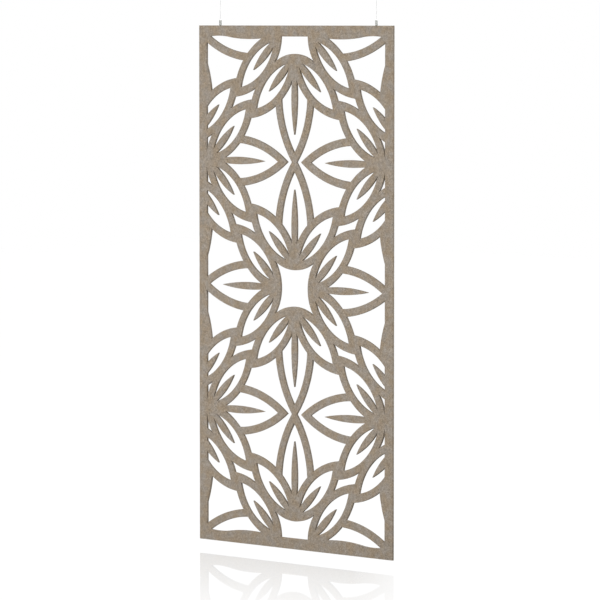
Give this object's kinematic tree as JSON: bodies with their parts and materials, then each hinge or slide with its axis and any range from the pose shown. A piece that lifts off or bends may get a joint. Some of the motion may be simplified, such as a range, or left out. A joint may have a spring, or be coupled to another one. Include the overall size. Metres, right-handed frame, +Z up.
{
  "type": "hanging room divider panel",
  "caption": "Pierced felt room divider hung from the ceiling on taut wire ropes, with a spring-loaded wire gripper at each wire to set its height.",
  "frame": {"origin": "on the ceiling plane, midway between the two ceiling fittings", "axes": "+Z up, +X along the panel's width towards its right edge as seen from the front, -Y is the front; the felt hangs below the origin"},
  "size_m": [1.22, 0.02, 2.59],
  "materials": {
    "felt": "pressed polyester felt, heathered warm grey",
    "stainless": "turned stainless steel",
    "nickel": "satin nickel plate on turned brass",
    "polished_nickel": "bright nickel plate",
    "hard_steel": "polished hardened steel balls",
    "spring_steel": "drawn spring wire",
    "wire_rope": "galvanised steel wire rope"
  },
  "bodies": {
    "ceiling": {"ceiling_base_left": "nickel", "ceiling_base_right": "nickel", "ceiling_cap_left": "nickel", "ceiling_cap_right": "nickel"},
    "hung_panel": {"felt_panel": "felt", "edge_insert_left": "nickel", "edge_insert_right": "nickel", "hanger_stud_left": "stainless", "hanger_stud_right": "stainless", "gripper_foot_left": "nickel", "gripper_foot_right": "nickel", "gripper_barrel_left": "nickel", "gripper_barrel_right": "nickel", "wire_rope_left": "wire_rope", "wire_rope_right": "wire_rope", "wire_ball_end_left": "stainless", "wire_ball_end_right": "stainless"},
    "plunger_left": {"release_plunger_left": "polished_nickel", "clamp_balls_left": "hard_steel", "plunger_spring_left": "spring_steel"},
    "plunger_right": {"release_plunger_right": "polished_nickel", "clamp_balls_right": "hard_steel", "plunger_spring_right": "spring_steel"}
  },
  "joints": [
    {"name": "panel_swing", "type": "hinge", "parent": "ceiling", "child": "hung_panel", "pos_m": [0, 0, -0.0151], "axis": [1, 0, 0], "range_deg": [-10, 10]},
    {"name": "plunger_left_press", "type": "slide", "parent": "hung_panel", "child": "plunger_left", "axis": [0, 0, -1], "range_m": [0, 0.0025], "stiffness_N_per_m": 1000, "springref_m": -0.001, "deforming": ["plunger_spring_left"]},
    {"name": "plunger_right_press", "type": "slide", "parent": "hung_panel", "child": "plunger_right", "axis": [0, 0, -1], "range_m": [0, 0.0025], "stiffness_N_per_m": 1000, "springref_m": -0.001, "deforming": ["plunger_spring_right"]}
  ]
}
